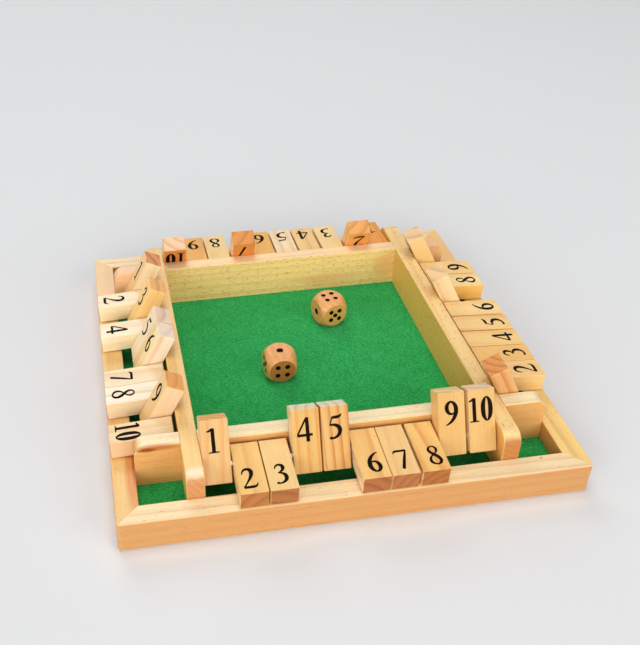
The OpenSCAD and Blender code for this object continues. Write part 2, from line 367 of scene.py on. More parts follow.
    # a stain fades as |(point - middle) / half sizes|, roughened by the fibres, goes from 0.6 to 1.35
    for middle, half, shade, amount in look["stains"]:
        at = addNode(tree, "ShaderNodeMapping", {"vector_type": "TEXTURE"},
                     {0: own, 1: Vector(middle) * mm, 3: Vector(half) * mm})
        far = addNode(tree, "ShaderNodeVectorMath", {"operation": "LENGTH"}, {0: at.outputs[0]})
        rough = addNode(tree, "ShaderNodeMath", {"operation": "MULTIPLY_ADD"},
                        {0: fibre.outputs["Fac"], 1: 0.5, 2: far.outputs["Value"]})
        mask = addNode(tree, "ShaderNodeMapRange", {"interpolation_type": "SMOOTHSTEP"},
                       {0: rough.outputs[0], 1: 0.6, 2: 1.35, 3: amount, 4: 0.0})
        colour = addNode(tree, "ShaderNodeMix", {"data_type": "RGBA"},
                         {0: mask.outputs[0], 6: colour.outputs[2], 7: linearColour(shade)})
    sheen = addNode(tree, "ShaderNodeMapRange", None,
                    {0: blotch.outputs["Fac"], 1: 0.3, 2: 0.7,
                     3: look["sheen"][0], 4: look["sheen"][1]})
    film = addNode(tree, "ShaderNodeMapRange", None, {0: endMask, 3: look["film"], 4: 0.0})
    grainHeight = addNode(tree, "ShaderNodeMath", {"operation": "MULTIPLY_ADD"},
                          {0: summer.outputs[0], 1: 0.5, 2: fibre.outputs["Fac"]})
    bump = addNode(tree, "ShaderNodeBump", None,
                   {"Strength": 0.35, "Distance": look["relief"] * mm,
                    "Height": grainHeight.outputs[0]})
    shader = addNode(tree, "ShaderNodeBsdfPrincipled", None, {
        "Base Color": colour.outputs[2], "Roughness": sheen.outputs[0],
        "Normal": bump.outputs[0], "IOR": 1.5, "Specular IOR Level": 0.35,
        "Coat Weight": film.outputs[0], "Coat Roughness": look["filmRoughness"]})
    addNode(tree, "ShaderNodeOutputMaterial", None, {"Surface": shader.outputs[0]})
    return material


# sides are counted from the front, and each is a quarter turn on from the last
def roundZ(side):
    return math.radians(90 * side)


# a place in mm on the front side, turned to the same place on another side and given in metres
def atSide(side, x, y, z):
    return tuple(Matrix.Rotation(roundZ(side), 3, "Z") @ Vector((x * mm, y * mm, z * mm)))


railMiddle = (0, -138.5, 11.2)  # mm, of the front rail and of the front wall
wallMiddle = (0, -97.25, 25)
pithRange = ((-35, 20), (35, 40))  # mm across and down, where the heart of a bar's tree may lie
# the rails' long sides are a deeper orange as painted shade, and their tops paler as painted light
railLook = {"strength": 0.36, "ringGap": 4.5, "slope": (0.5, 0.4), "waver": 2.0,
            "pale": "#E9B473", "spring": "#E2A766", "summer": "#C9793C", "dashAmount": 0.5,
            "side": ("#CE9455", 0.85), "top": ("#F9E3B8", 0.9)}
# painted light: the paler colour given to each rail's top
paintedLitRailTops = {"front": "#FBE5B6", "right": "#FBD887", "back": "#FBE4B6", "left": "#F0C87C"}
railStains = {"left": [((4.4, -106, 11.2), (4.2, 44, 6), "#D68B45", 0.9),
                       ((6.2, -100, 11.2), (1.0, 20, 4), "#B0622A", 0.8),
                       ((0, 112, 11.2), (18, 46, 14), "#F4CDA0", 0.6)],
              "right": [((0, -112, 11.2), (18, 48, 14), "#F5BD7F", 0.65)]}
wallLook = {"strength": 0.25, "ringGap": 4.0, "slope": (0.6, 0.5), "waver": 1.8,
            "pale": "#F8D88F", "spring": "#F1C878", "summer": "#D28C45", "dash": "#A9602A",
            "dashAmount": 0.6, "dashCut": 0.655, "end": "#DD9A62", "endBand": 0.12}
# painted light and shade: each wall's top is paler and its long sides tinted and darker as light falls
# on them; the yellow of the back and right walls' sides is a painted cast of the light in the pit
wallLooks = {
    "front": {"side": ("#E5A55F", 0.8), "top": ("#FBE8BE", 0.9), "dashAmount": 0.3,
              "stains": [((-5.5, 118, 14.0), (3, 19, 3.0), "#C06C30", 0.85),
                         ((-5.5, 123, 13.0), (3, 7, 1.9), "#8A4618", 0.9)]},
    "right": {"side": ("#F4BF5B", 0.85), "top": ("#FBD594", 0.8), "end": "#C68043",
              "stains": [((5.5, 119, 0), (3, 15, 18), "#DB9450", 0.8)]},
    "back": {"side": ("#FFDA8D", 0.96), "top": ("#FCD9A6", 0.94), "dash": "#B86E2C",
             "dashAmount": 0.6, "dashCut": 0.62, "dashTop": 0.1,
             "stains": [((5.5, 34, -6), (3, 34, 6), "#F4B774", 0.55),
                        ((5.5, 84, 1), (3, 13, 15), "#F2B670", 0.6),
                        # painted light: these two stains take the painted yellow cast of the pit off
                        # the back wall's ends
                        ((0, 121, 0), (20, 17, 40), "#F3B988", 0.8),
                        ((0, -121, 0), (20, 17, 40), "#F3C59B", 0.8)]},
    "left": {"side": ("#F0BE68", 0.6), "top": ("#FBCD82", 0.85), "end": "#D2925D", "dashAmount": 0.3,
             # painted highlight: the pale stain at the rounded top of the front end
             "stains": [((0, -127, 14), (8, 5.5, 3.4), "#F7DEC6", 0.6)]},
}

for k, side in enumerate(sides):
    along = (0, 0, roundZ(k) + math.pi / 2)
    giveMaterial(nodes["rail_" + side],
                 makePine("varnished_pine_rail_" + side, atSide(k, *railMiddle), along,
                          {**railLook, "pith": tuple(rng.uniform(*pithRange)),
                           "top": (paintedLitRailTops[side], 0.85), "stains": railStains.get(side, [])}))
    giveMaterial(nodes["wall_" + side],
                 makePine("varnished_pine_wall_" + side, atSide(k, *wallMiddle), along,
                          {**wallLook, "pith": tuple(rng.uniform(*pithRange)),
                           **wallLooks[side]}))
print("rails and walls finished")


tileSet = {
    "head": 30.189,          # mm from the hole to the outer end
    "thick": 12.4,           # mm
    "lie": -3.4745,          # degrees that a lying tile slopes down to the rail
    "lean": 116.7269,        # degrees to a tile that stands against the wall
    "standing": {"front": (1, 4, 5, 9, 10), "right": (1, 7, 10),
                 "back": (2, 7, 10), "left": (1, 3, 5, 6, 9)},
    # what differs by chance from tile to tile: lowest and highest, as in pineLook
    "chance": {"pith": ((-36, 8), (36, 36)), "ringGap": (7.0, 12.0), "strength": (0.2, 0.6),
               "slope": (-4, 4)},
}
# each row's wood: its planed faces, its long sides in colours of painted light and shade, and its end
# grain; the left row's pale cream is partly its wood and partly a painted highlight
rowLooks = {
    "front": {"pale": "#F4C97C", "spring": "#EDBA68", "side": ("#F9DDAA", 0.7), "end": "#BC7137"},
    "right": {"pale": "#FCD896", "spring": "#F8C87A", "side": ("#FCD48A", 0.8), "end": "#E8A86C"},
    "back": {"pale": "#FAD28C", "spring": "#F6C67A", "side": ("#FADDAE", 0.8), "end": "#E9A46A"},
    "left": {"pale": "#FAE8C4", "spring": "#F3D9AB", "side": ("#F6DDB2", 0.85), "end": "#E9A974",
             "summer": "#DDA05C"},
}
# what singles out a tile: its board's colour, how strong its stripes are, its end's colour. Side
# colours are painted light and shade, the pale ends of standing tiles are painted light on their
# upturned end grain, and the darker boards of the standing front tiles are partly painted shade
tileLooks = {
    ("front", 1): {"pale": "#DDB676", "spring": "#D6A965", "strength": 0.60, "ringGap": 5.5,
                   "pith": (14, 26), "end": "#FABA74", "side": ("#FFE6B4", 0.8)},
    ("front", 2): {"strength": 0.55, "ringGap": 7.5, "pith": (-24, 22), "end": "#BA7336"},
    ("front", 3): {"pale": "#F2CD8B", "spring": "#EABE76", "strength": 0.20, "ringGap": 9.0,
                   "side": ("#DD9C5C", 0.85), "pith": (10, 40), "end": "#AF6A32"},
    ("front", 4): {"pale": "#DBB467", "spring": "#D3A452", "strength": 0.9, "ringGap": 6.0,
                   "pith": (-30, 12), "end": "#F9ECC8", "side": ("#FFEEC8", 0.85)},
    ("front", 5): {"pale": "#DBB46C", "spring": "#D2A357", "strength": 1.3, "ringGap": 5.5,
                   "summer": "#C97B30", "pith": (34, 4), "end": "#F9EED2"},
    ("front", 6): {"pale": "#F8CD80", "spring": "#F0BC6C", "strength": 0.70, "ringGap": 8.0,
                   "pith": (14, 19), "end": "#B26733", "endBand": 0.35, "side": ("#FFEBC0", 0.85)},
    ("front", 7): {"pale": "#F3CC8D", "spring": "#ECBD78", "strength": 0.20, "ringGap": 5.5,
                   "side": ("#E6AC6A", 0.8), "pith": (-26, 18), "end": "#B56D37"},
    ("front", 8): {"strength": 0.75, "ringGap": 5.5, "pith": (-12, 17), "end": "#B36928",
                   "endBand": 0.35},
    ("front", 9): {"pale": "#DDB168", "spring": "#D5A257", "strength": 0.15, "ringGap": 9.0,
                   "side": ("#FBC67E", 0.85), "pith": (12, 36), "end": "#FADA98"},
    ("front", 10): {"pale": "#DDB46C", "spring": "#D5A55B", "strength": 0.20, "ringGap": 9.0,
                    "pith": (20, 34), "end": "#FAD6B0"},
    ("right", 1): {"strength": 1.0, "ringGap": 5.0, "pith": (-14, 20), "summer": "#C7763A",
                   "end": "#E18C38", "endBand": 0.4, "side": ("#DDA060", 0.7)},
    ("right", 2): {"strength": 0.15, "pale": "#FDD896", "spring": "#FACB82"},
    ("right", 3): {"pale": "#F9CB80", "spring": "#F4BC6A"},
    ("right", 6): {"strength": 0.25, "pale": "#FFDF9C", "spring": "#FCD088"},
    ("right", 7): {"end": "#F2C58A", "side": ("#F3DAAC", 0.9)},
    ("right", 8): {"side": ("#FFC864", 0.9), "strength": 0.2, "pale": "#FFE3A0", "spring": "#FDD48C"},
    ("right", 10): {"end": "#EFC086", "side": ("#F2CC8A", 0.8)},
    ("back", 1): {"pale": "#FBAA4A", "spring": "#F49C30", "strength": 0.6},
    ("back", 2): {"pale": "#F7AC5A", "spring": "#F09C44", "end": "#E8A156", "side": ("#FBCB80", 0.8)},
    ("back", 3): {"pale": "#FFE5A2", "spring": "#FDD78C"},
    ("back", 5): {"pale": "#FFEBC0", "spring": "#FEE0AE", "strength": 0.4},
    ("back", 6): {"pale": "#F8BD58", "spring": "#F2AC42"},
    ("back", 7): {"pale": "#EE9848", "spring": "#E68834", "end": "#DC8B3B", "endBand": 0.3},
    ("back", 8): {"pale": "#FCDF98", "spring": "#F9D184"},
    ("back", 9): {"pale": "#F8BA54", "spring": "#F1A940"},
    ("back", 10): {"pale": "#F09A4C", "spring": "#E78B38", "end": "#F5C49A"},
    ("left", 1): {"strength": 0.15, "pale": "#F8D094", "spring": "#F3C083", "end": "#EC9E63",
                  "endBand": 0.5, "pith": (-8, 14)},
    ("left", 2): {"side": ("#FFEFC0", 0.85)},
    ("left", 3): {"pale": "#FFD88C", "spring": "#FCC87A", "end": "#F9BC75", "side": ("#EFC47A", 0.8)},
    ("left", 4): {"side": ("#FBEABF", 0.85), "strength": 0.3, "pale": "#FFF0D2", "spring": "#F9E4BE"},
    ("left", 5): {"pale": "#FBE8C2", "spring": "#F5DAAE", "end": "#FFD9BC"},
    ("left", 6): {"pale": "#FFECB0", "spring": "#FBDE9E", "end": "#FFE6CE", "endBand": 0.15,
                  "side": ("#F2DFC9", 0.8)},
    ("left", 8): {"pale": "#FFF4DA", "spring": "#FAE8C8"},
    ("left", 9): {"strength": 0.12, "pale": "#F9D494", "spring": "#F3C380", "end": "#F5AA62",
                  "endBand": 0.2, "side": ("#EFCCA4", 0.85)},
    ("left", 10): {"pale": "#F8DCAC", "spring": "#F1CE9A", "side": ("#EAC196", 0.8)},
}


# where a tile's rod hole is, in metres, and how the tile is turned
def tilePlace(k, side, number):
    standing = number in tileSet["standing"][side]
    lift = math.radians(tileSet["lean"] if standing else tileSet["lie"])
    hinge = next(j for j in frame["joints"] if j["child"] == f"tile_{side}_{number}")
    return Vector(hinge["pos_m"]), (-lift, 0, roundZ(k))


# Each numeral is a set of pen strokes in a box one unit high: points (x, y, half width),
# joined by a smooth line. Upright strokes are thick and level ones thin.
strokes = {
    "1": [[(0.215, 0.01, .061), (0.215, 0.3, .061), (0.215, 0.65, .061), (0.222, 0.985, .055)],
          [(0.03, 0.012, .010), (0.12, 0.018, .018), (0.31, 0.018, .018), (0.40, 0.012, .010)],
          [(0.235, 0.985, .014), (0.16, 0.925, .037), (0.09, 0.883, .026), (0.02, 0.868, .015)]],
    "2": [[(0.03, 0.70, .010), (0.06, 0.82, .022), (0.125, 0.92, .038), (0.22, 0.948, .050),
           (0.31, 0.90, .064), (0.35, 0.79, .068), (0.335, 0.65, .062), (0.27, 0.48, .044),
           (0.17, 0.30, .027), (0.08, 0.15, .020), (0.02, 0.07, .022)],
          [(0.015, 0.045, .040), (0.12, 0.052, .050), (0.33, 0.052, .050), (0.42, 0.078, .040),
           (0.475, 0.15, .018), (0.50, 0.23, .010)]],
    "3": [[(0.045, 0.76, .010), (0.08, 0.87, .024), (0.145, 0.94, .036), (0.225, 0.952, .044),
           (0.30, 0.905, .058), (0.33, 0.80, .060), (0.30, 0.69, .047), (0.225, 0.60, .030),
           (0.14, 0.55, .018)],
          [(0.13, 0.545, .012), (0.23, 0.535, .030), (0.325, 0.475, .052), (0.375, 0.365, .066),
           (0.37, 0.24, .064), (0.315, 0.125, .048), (0.22, 0.052, .032), (0.13, 0.036, .030),
           (0.065, 0.058, .042), (0.028, 0.072, .030)]],
    "4": [[(0.365, 0.0, .060), (0.365, 0.3, .060), (0.365, 0.7, .060), (0.365, 0.985, .052)],
          [(0.345, 0.975, .024), (0.25, 0.78, .026), (0.13, 0.53, .026), (0.02, 0.305, .024)],
          [(0.0, 0.268, .030), (0.10, 0.272, .042), (0.40, 0.272, .042), (0.53, 0.272, .038)]],
    "5": [[(0.135, 0.875, .040), (0.22, 0.885, .048), (0.33, 0.89, .050), (0.41, 0.93, .034),
           (0.455, 0.995, .010)],
          [(0.145, 0.915, .020), (0.115, 0.80, .018), (0.08, 0.68, .016), (0.045, 0.575, .014)],
          [(0.045, 0.572, .014), (0.15, 0.585, .036), (0.27, 0.545, .056), (0.36, 0.455, .070),
           (0.385, 0.33, .072), (0.35, 0.19, .058), (0.26, 0.085, .040), (0.15, 0.038, .032),
           (0.07, 0.055, .046), (0.03, 0.075, .030)]],
    "6": [[(0.455, 0.99, .010), (0.36, 0.945, .027), (0.25, 0.845, .045), (0.15, 0.69, .062),
           (0.092, 0.50, .073), (0.085, 0.31, .075), (0.135, 0.14, .058), (0.235, 0.042, .034),
           (0.33, 0.075, .044), (0.395, 0.19, .064), (0.40, 0.345, .068), (0.345, 0.485, .052),
           (0.25, 0.545, .033), (0.155, 0.51, .022), (0.10, 0.44, .014)]],
    "7": [[(0.0, 0.80, .010), (0.03, 0.86, .022), (0.065, 0.905, .038), (0.15, 0.925, .042),
           (0.30, 0.925, .042), (0.46, 0.93, .038)],
          [(0.455, 0.955, .016), (0.41, 0.80, .032), (0.34, 0.56, .044), (0.265, 0.28, .050),
           (0.195, 0.005, .052)]],
    "8": [[(0.235, 0.53, .058), (0.145, 0.635, .052), (0.095, 0.76, .046), (0.12, 0.885, .032),
           (0.225, 0.96, .022), (0.33, 0.90, .034), (0.365, 0.78, .042), (0.325, 0.655, .030),
           (0.225, 0.545, .020), (0.115, 0.435, .028), (0.06, 0.30, .046), (0.075, 0.15, .050),
           (0.215, 0.038, .026), (0.345, 0.09, .042), (0.395, 0.225, .056), (0.34, 0.395, .062)]],
    "0": [[(0.065, 0.5, .078), (0.085, 0.24, .069), (0.145, 0.075, .041), (0.21, 0.022, .023),
           (0.275, 0.075, .041), (0.335, 0.24, .069), (0.355, 0.5, .078), (0.335, 0.76, .069),
           (0.275, 0.925, .041), (0.21, 0.978, .023), (0.145, 0.925, .041), (0.085, 0.76, .069)]],
}
strokes["9"] = [[(0.455 - x, 1 - y, w) for x, y, w in strokes["6"][0]]]
closedStrokes = ("8", "0")
numeralSet = {
    # mm high, how far widened, emboldened and thickened all over, mm from the tile's outer end
    "lying": {"height": 15.4, "wide": 1.16, "bold": 1.10, "thicker": 0.008, "edge": 4.3},
    "standing": {"height": 15.3, "wide": 1.19, "bold": 1.08, "thicker": 0.009, "edge": 5.4},
    "ten": {"wide": 0.90, "bold": 1.03, "gap": 0.10},  # the two figures of ten are narrow and heavy
    "astray": (0.35, 0.3, 1.0),  # how far a stamp may miss, in mm across and along and in degrees
    # mm across, for the stamps that are known to be off the middle
    "moved": {"front": (-1.2, -1.2, 0, -0.9, 0.2, 0.8, 0.2, 1.7, 0, -0.6)},
    "steps": 5,              # points between two of a stroke's own
    "proud": 0.04,           # mm of ink above the wood
    "sunk": 0.03,            # mm of ink below its face
    "stagger": 0.08,         # how much thicker each stroke is than the last, so none share a face
}


# smooth line through rows p: on each span 0.5 * (2 p1 + (p2 - p0) u
# + (2 p0 - 5 p1 + 4 p2 - p3) u^2 + (3 p1 - p0 - 3 p2 + p3) u^3)
def smoothLine(rows, steps, closed):
    p = np.array(rows, float)
    ends = (p[-1:], p[:2]) if closed else (2 * p[:1] - p[1:2], 2 * p[-1:] - p[-2:-1])
    q = np.concatenate([ends[0], p, ends[1]])
    spans = len(p) if closed else len(p) - 1
    p0, p1, p2, p3 = [q[i:i + spans, None, :] for i in range(4)]
    u = (np.arange(steps) / steps)[None, :, None]
    line = 0.5 * (2 * p1 + (p2 - p0) * u + (2 * p0 - 5 * p1 + 4 * p2 - p3) * u ** 2
                  + (3 * p1 - p0 - 3 * p2 + p3) * u ** 3)
    line = line.reshape(-1, p.shape[1])
    return line if closed else np.concatenate([line, p[-1:]])


# a stroke is its middle line c(t) carried with the profile (+-w(t), +-thickness): four rails
# c + w n and c - w n, at the foot and at the top of the ink, where n is the line's side
def strokeSkin(rows, closed, steps, low, high):
    line = smoothLine(rows, steps, closed)
    centre, half = line[:, :2], line[:, 2:3]
    if closed:
        along = np.roll(centre, -1, 0) - np.roll(centre, 1, 0)
    else:
        along = np.gradient(centre, axis=0)
    along /= np.linalg.norm(along, axis=1, keepdims=True)
    across = np.stack([-along[:, 1], along[:, 0]], 1) * half
    left, right = centre + across, centre - across
    level = np.ones((len(line), 1))
    rails = [np.hstack([left, low * level]), np.hstack([right, low * level]),
             np.hstack([right, high * level]), np.hstack([left, high * level])]
    points = np.stack(rails, 1).reshape(-1, 3)
    return points, gridFaces(len(line), 4, closed)


# the skins of one number in units of its height, centred on x = 0
def numberSkins(number, low, high, face):
    digits = str(number)
    wide, bold, gap = face["wide"], face["bold"], 0.0
    if len(digits) > 1:
        ten = numeralSet["ten"]
        wide, bold, gap = wide * ten["wide"], bold * ten["bold"], ten["gap"]
    skins, start = [], 0.0
    for digit in digits:
        lift, edge = 0.0, 0.0
        for rows in strokes[digit]:
            rows = np.array(rows) * (wide, 1, bold) + (0, 0, face["thicker"])
            points, faces = strokeSkin(rows, digit in closedStrokes, numeralSet["steps"],
                                       low, high + lift)
            lift += (high - low) * numeralSet["stagger"]
            edge = max(edge, points[:, 0].max())
            skins.append([points + (start, 0, 0), faces])
        start += edge + gap
    allX = np.concatenate([s[0][:, 0] for s in skins])
    middle = (allX.min() + allX.max()) / 2
    return [(points - (middle, 0, 0), faces) for points, faces in skins]


# a numeral on a tile's face, turned by the stamp's own small angle t about its middle:
# x = h (a cos t - b sin t) + dx, y = foot + up (h / 2 + h (a sin t + b cos t)) + dy, z = out
def placeNumeral(number, face, footY, upSign, outSign, place, turn, across):
    height = face["height"]
    low, high = -numeralSet["sunk"] / height, numeralSet["proud"] / height
    matrix = np.array(Euler(turn).to_matrix())
    dx, dy, t = rng.uniform(-1, 1, 3) * numeralSet["astray"]
    dx = dx if across is None else across
    cos, sin = math.cos(math.radians(t)), math.sin(math.radians(t))
    placed = []
    for points, faces in numberSkins(number, low, high, face):
        a, b = points[:, 0], points[:, 1] - 0.5
        own = np.stack([height * (a * cos - b * sin) + dx,
                        footY + dy + upSign * height * (0.5 + a * sin + b * cos),
                        outSign * (tileSet["thick"] / 2 + points[:, 2] * height)], 1) * mm
        placed.append((own @ matrix.T + np.array(place), faces))
    return placed


# Black screen-printed ink soaked into pine: nearly black, a little brown where the grain drinks it,
# in specks of 0.7 mm
def makeInk():
    material, tree = newMaterial("printed_black_ink")
    where = addNode(tree, "ShaderNodeTexCoord")
    grain = addNode(tree, "ShaderNodeTexNoise", None,
                    {"Vector": where.outputs["Object"], "Scale": 1500.0, "Detail": 2.0})
    colour = addNode(tree, "ShaderNodeValToRGB", {"stops": [(0.35, "#0B0503"), (0.75, "#1C0E08")]},
                     {0: grain.outputs["Fac"]})
    rough = addNode(tree, "ShaderNodeMapRange", None, {0: grain.outputs["Fac"], 3: 0.55, 4: 0.75})
    shader = addNode(tree, "ShaderNodeBsdfPrincipled", None, {
        "Base Color": colour.outputs[0], "Roughness": rough.outputs[0], "Specular IOR Level": 0.06})
    addNode(tree, "ShaderNodeOutputMaterial", None, {"Surface": shader.outputs[0]})
    return material


ink = makeInk()
for k, side in enumerate(sides):
    for number in range(1, 11):
        place, turn = tilePlace(k, side, number)
        chance = tileSet["chance"]
        chosen = {"pith": tuple(rng.uniform(*chance["pith"])),
                  "ringGap": float(rng.uniform(*chance["ringGap"])),
                  "strength": float(rng.uniform(*chance["strength"])),
                  "slope": tuple(rng.uniform(*chance["slope"], 2)),
                  **rowLooks[side], **tileLooks.get((side, number), {})}
        giveMaterial(nodes[f"tile_{side}_{number}"],
                     makePine(f"varnished_pine_tile_{side}_{number}", place, turn, chosen))
        lying, up = numeralSet["lying"], numeralSet["standing"]
        known = numeralSet["moved"].get(side)
        across = known[number - 1] if known else None
        skins = placeNumeral(number, lying, lying["edge"] - tileSet["head"], 1, 1, place, turn, across)
        skins += placeNumeral(number, up, up["edge"] + up["height"] - tileSet["head"], -1, -1,
                              place, turn, across)
        makePiece(f"numerals_{side}_{number}", skins, ink, f"tile_{side}_{number}", smooth=False)
print("tiles and numerals finished")


feltSet = {
    "cells": 210,            # grid cells along each side
    "lump": 0.05,            # mm that the nap rises and falls
    "lumpSize": 3.0,         # mm from one lump to the next
    "lumpRange": (0.8, 2.4),  # times that, from the shortest wave to the longest
    "waves": 24,
    "cloud": 160.0,          # clouds of 6 mm
    "fuzz": (520, 1050, 1050),  # tufts of 2 x 1 mm, coarser than real fibre ends so that they show
}


# the nap: z(x, y) = sum of sines with seeded directions and phases, scaled to the lump height
def feltHeight(x, y):
    total = np.zeros_like(x)
    for _ in range(feltSet["waves"]):
        angle, phase = rng.uniform(0, 2 * math.pi, 2)
        wave = 2 * math.pi / (feltSet["lumpSize"] * rng.uniform(*feltSet["lumpRange"]) * mm)
        total += np.sin((x * math.cos(angle) + y * math.sin(angle)) * wave + phase)
    return total / np.abs(total).max() * feltSet["lump"] * mm


# Needled wool felt, cut and glued down: matt green, clouded, with pale and dark fibre ends
def makeFeltMaterial():
    material, tree = newMaterial("green_needled_felt")
    where = addNode(tree, "ShaderNodeTexCoord")
    cloud = addNode(tree, "ShaderNodeTexNoise", None,
                    {"Vector": where.outputs["Object"], "Scale": feltSet["cloud"],
                     "Detail": 3.0, "Roughness": 0.6})
    fuzzAt = addNode(tree, "ShaderNodeMapping", None,
                     {0: where.outputs["Object"], 2: (0, 0, 0.75), 3: feltSet["fuzz"]})
    fuzz = addNode(tree, "ShaderNodeTexNoise", None,
                   {"Vector": fuzzAt.outputs[0], "Scale": 1.0, "Detail": 3.0, "Roughness": 0.65})
    mixed = addNode(tree, "ShaderNodeMath", {"operation": "MULTIPLY_ADD"},
                    {0: cloud.outputs["Fac"], 1: 0.25, 2: fuzz.outputs["Fac"]})
    colour = addNode(tree, "ShaderNodeValToRGB",
                     {"stops": [(0.42, "#11803A"), (0.62, "#20A34E"), (0.84, "#45BE6D")]},
                     {0: mixed.outputs[0]})
    bump = addNode(tree, "ShaderNodeBump", None,
                   {"Strength": 0.6, "Distance": 0.3 * mm, "Height": mixed.outputs[0]})
    shader = addNode(tree, "ShaderNodeBsdfPrincipled", None, {
        "Base Color": colour.outputs[0], "Roughness": 0.95, "Specular IOR Level": 0.1,
        "Sheen Weight": 0.08, "Sheen Roughness": 0.6, "Normal": bump.outputs[0]})
    addNode(tree, "ShaderNodeOutputMaterial", None, {"Surface": shader.outputs[0]})
    return material


# a square sheet: the top is a grid of cells x cells points, its outline carried down to the base
def makeFelt():
    low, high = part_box("felt_sheet")
    count = feltSet["cells"] + 1
    x, y = np.meshgrid(np.linspace(low.x, high.x, count), np.linspace(low.y, high.y, count),
                       indexing="ij")
    z = high.z - feltSet["lump"] * mm + feltHeight(x, y)
    top = np.stack([x, y, z], -1).reshape(-1, 3)
    i, j = np.meshgrid(np.arange(count - 1), np.arange(count - 1), indexing="ij")
    corner = (i * count + j).ravel()
    faces = np.stack([corner, corner + count, corner + count + 1, corner + 1], 1).tolist()
    edge = np.arange(count)
    outline = np.concatenate([edge[:-1] * count, (count - 1) * count + edge[:-1],
                              edge[:0:-1] * count + count - 1, edge[:0:-1]])
    foot = top[outline].copy()
    foot[:, 2] = low.z
    start = len(top)
    n = len(outline)
    ring = np.arange(n)
    nextRing = (ring + 1) % n
    faces += np.stack([outline, start + ring, start + nextRing, outline[nextRing]], 1).tolist()
    faces.append((start + ring[::-1]).tolist())
    skin = (np.concatenate([top, foot]), faces)
    felt = makePiece("felt_cloth", [skin], makeFeltMaterial(), "root")
    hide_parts("felt_sheet")


# Rotary-cut birch plywood, unsanded back: pale tan, no varnish, with a wandering figure of
# 22 x 140 mm and fibres of 1.1 x 33 mm
def makePlywood():
    material, tree = newMaterial("raw_birch_plywood")
    where = addNode(tree, "ShaderNodeTexCoord")
    long = addNode(tree, "ShaderNodeMapping", None, {0: where.outputs["Object"], 3: (1, 0.16, 1)})
    figure = addNode(tree, "ShaderNodeTexNoise", None,
                     {"Vector": long.outputs[0], "Scale": 45.0, "Detail": 3.0, "Distortion": 0.6})
    lines = addNode(tree, "ShaderNodeMapping", None, {0: where.outputs["Object"], 3: (900, 30, 900)})
    fibre = addNode(tree, "ShaderNodeTexNoise", None,
                    {"Vector": lines.outputs[0], "Scale": 1.0, "Detail": 2.0})
    mixed = addNode(tree, "ShaderNodeMath", {"operation": "MULTIPLY_ADD"},
                    {0: fibre.outputs["Fac"], 1: 0.35, 2: figure.outputs["Fac"]})
    colour = addNode(tree, "ShaderNodeValToRGB",
                     {"stops": [(0.45, "#B98B58"), (0.62, "#D3AC78"), (0.85, "#E3C495")]},
                     {0: mixed.outputs[0]})
    bump = addNode(tree, "ShaderNodeBump", None,
                   {"Strength": 0.5, "Distance": 0.08 * mm, "Height": fibre.outputs["Fac"]})
    shader = addNode(tree, "ShaderNodeBsdfPrincipled", None,
                     {"Base Color": colour.outputs[0], "Roughness": 0.8, "Normal": bump.outputs[0]})
    addNode(tree, "ShaderNodeOutputMaterial", None, {"Surface": shader.outputs[0]})
    return material


# Bright steel: a hard glint broken up by the marks of its making. Stretch says how often they come
# to the metre: a drawn rod has 30 along it and 2500 across, and a plain brad 900 each way
def makeSteel(name, stretch, colours, roughness):
    material, tree = newMaterial(name)
    where = addNode(tree, "ShaderNodeTexCoord")
    lines = addNode(tree, "ShaderNodeMapping", None, {0: where.outputs["Object"], 3: stretch})
    scratch = addNode(tree, "ShaderNodeTexNoise", None,
                      {"Vector": lines.outputs[0], "Scale": 1.0, "Detail": 2.0})
    colour = addNode(tree, "ShaderNodeValToRGB", {"stops": [(0.3, colours[0]), (0.7, colours[1])]},
                     {0: scratch.outputs["Fac"]})
    rough = addNode(tree, "ShaderNodeMapRange", None,
                    {0: scratch.outputs["Fac"], 3: roughness[0], 4: roughness[1]})
    shader = addNode(tree, "ShaderNodeBsdfPrincipled", None, {
        "Base Color": colour.outputs[0], "Metallic": 1.0, "Roughness": rough.outputs[0]})
    addNode(tree, "ShaderNodeOutputMaterial", None, {"Surface": shader.outputs[0]})
    return material


makeFelt()
giveMaterial(nodes["base_board"], makePlywood())
rodLook = {"colours": ("#E2E4E8", "#F4F5F7"), "roughness": (0.10, 0.20)}
steelAlongX = makeSteel("drawn_steel_along_x", (30, 2500, 2500), **rodLook)
steelAlongY = makeSteel("drawn_steel_along_y", (2500, 30, 2500), **rodLook)
for k, side in enumerate(sides):
    giveMaterial(nodes["rod_" + side], steelAlongY if k % 2 else steelAlongX)
giveMaterial(nodes["base_brads"],
             makeSteel("plain_steel_brads", (900, 900, 900), ("#8E9197", "#B4B7BC"), (0.3, 0.45)))
print("felt, base board, rods and brads finished")


diceSet = {
    "width": 21.0,           # mm from face to face
    "pip": 1.8,              # mm, radius of a pip
    "ace": 2.4,              # mm, radius of the single pip
    "deep": 0.5,             # mm, depth of a pip
    "offset": 3.4,           # mm from a face's middle lines to an outer pip
    "paint": 0.04,           # mm of paint in a pip
    "steps": (5, 20),        # rings and spokes of a pip's paint
    "inmost": 0.02,          # its first ring, as a share of the radius
    "ringGap": 4.0,          # mm from one year's ring to the next
    "flecks": (1900, 420, 1900),  # to the metre, so 0.5 x 2.4 mm
    "dice": {
        # painted shade: die_1's dark end colour, on its front face
        "die_1": {"at": (-22.6, -10.4, 20.3), "yaw": 1.5, "faces": (1, 6, 4, 3, 5, 2),
                  "end": "#B0692C"},
        "die_2": {"at": (27.7, 48.4, 20.3), "yaw": 13.8, "faces": (4, 3, 5, 2, 1, 6),
                  "end": "#D5A350"},
    },
}
